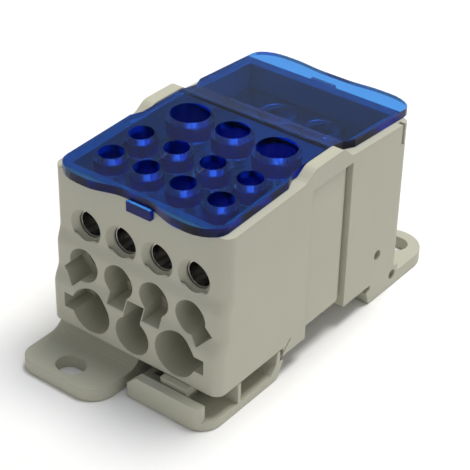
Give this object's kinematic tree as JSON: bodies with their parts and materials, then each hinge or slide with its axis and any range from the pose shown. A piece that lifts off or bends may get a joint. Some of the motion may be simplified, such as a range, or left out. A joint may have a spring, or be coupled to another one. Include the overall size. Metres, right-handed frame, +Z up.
{
  "type": "power distribution block",
  "caption": "Stepped cream terminal housing with rail latch and fixing ears, rows of wire entries below a clear blue screw cover, and a metal block inside.",
  "frame": {"origin": "midway between the ends of the two fixing ears, on the underside", "axes": "+Z up out of the panel, -Y towards the outputs, +Y towards the feeder"},
  "size_m": [0.047, 0.096, 0.0484],
  "materials": {
    "housing_plastic": "fine matte moulded",
    "latch_plastic": "fine matte moulded",
    "cover_plastic": "clear dyed polycarbonate, glossy",
    "block_nickel": "nickel plating",
    "screw_steel": "zinc plating, slotted",
    "feeder_screw_steel": "zinc plating, hexagon socket"
  },
  "bodies": {
    "base": {"housing": "housing_plastic", "terminal_block": "block_nickel"},
    "cover": {"cover": "cover_plastic"},
    "latch": {"din_latch": "latch_plastic"},
    "upper_screw_1": {"upper_screw_1": "screw_steel"},
    "upper_screw_2": {"upper_screw_2": "screw_steel"},
    "upper_screw_3": {"upper_screw_3": "screw_steel"},
    "upper_screw_4": {"upper_screw_4": "screw_steel"},
    "middle_screw_1": {"middle_screw_1": "screw_steel"},
    "middle_screw_2": {"middle_screw_2": "screw_steel"},
    "middle_screw_3": {"middle_screw_3": "screw_steel"},
    "middle_screw_4": {"middle_screw_4": "screw_steel"},
    "lower_screw_1": {"lower_screw_1": "screw_steel"},
    "lower_screw_2": {"lower_screw_2": "screw_steel"},
    "lower_screw_3": {"lower_screw_3": "screw_steel"},
    "feeder_screw_1": {"feeder_screw_1": "feeder_screw_steel"},
    "feeder_screw_2": {"feeder_screw_2": "feeder_screw_steel"}
  },
  "joints": [
    {"name": "cover_lift", "type": "slide", "parent": "base", "child": "cover", "axis": [0, 0, 1], "range_m": [0, 0.03]},
    {"name": "latch_pull", "type": "slide", "parent": "base", "child": "latch", "axis": [0, -1, 0], "range_m": [0, 0.003], "stiffness_N_per_m": 1500},
    {"name": "upper_screw_1_drive", "type": "slide", "parent": "base", "child": "upper_screw_1", "axis": [0, 0, -1], "range_m": [0, 0.004]},
    {"name": "upper_screw_2_drive", "type": "slide", "parent": "base", "child": "upper_screw_2", "axis": [0, 0, -1], "range_m": [0, 0.004]},
    {"name": "upper_screw_3_drive", "type": "slide", "parent": "base", "child": "upper_screw_3", "axis": [0, 0, -1], "range_m": [0, 0.004]},
    {"name": "upper_screw_4_drive", "type": "slide", "parent": "base", "child": "upper_screw_4", "axis": [0, 0, -1], "range_m": [0, 0.004]},
    {"name": "middle_screw_1_drive", "type": "slide", "parent": "base", "child": "middle_screw_1", "axis": [0, 0, -1], "range_m": [0, 0.0048]},
    {"name": "middle_screw_2_drive", "type": "slide", "parent": "base", "child": "middle_screw_2", "axis": [0, 0, -1], "range_m": [0, 0.0048]},
    {"name": "middle_screw_3_drive", "type": "slide", "parent": "base", "child": "middle_screw_3", "axis": [0, 0, -1], "range_m": [0, 0.0048]},
    {"name": "middle_screw_4_drive", "type": "slide", "parent": "base", "child": "middle_screw_4", "axis": [0, 0, -1], "range_m": [0, 0.0048]},
    {"name": "lower_screw_1_drive", "type": "slide", "parent": "base", "child": "lower_screw_1", "axis": [0, 0, -1], "range_m": [0, 0.0058]},
    {"name": "lower_screw_2_drive", "type": "slide", "parent": "base", "child": "lower_screw_2", "axis": [0, 0, -1], "range_m": [0, 0.0032]},
    {"name": "lower_screw_3_drive", "type": "slide", "parent": "base", "child": "lower_screw_3", "axis": [0, 0, -1], "range_m": [0, 0.0058]},
    {"name": "feeder_screw_1_drive", "type": "slide", "parent": "base", "child": "feeder_screw_1", "axis": [0, 0, -1], "range_m": [0, 0.008]},
    {"name": "feeder_screw_2_drive", "type": "slide", "parent": "base", "child": "feeder_screw_2", "axis": [0, 0, -1], "range_m": [0, 0.008]}
  ]
}
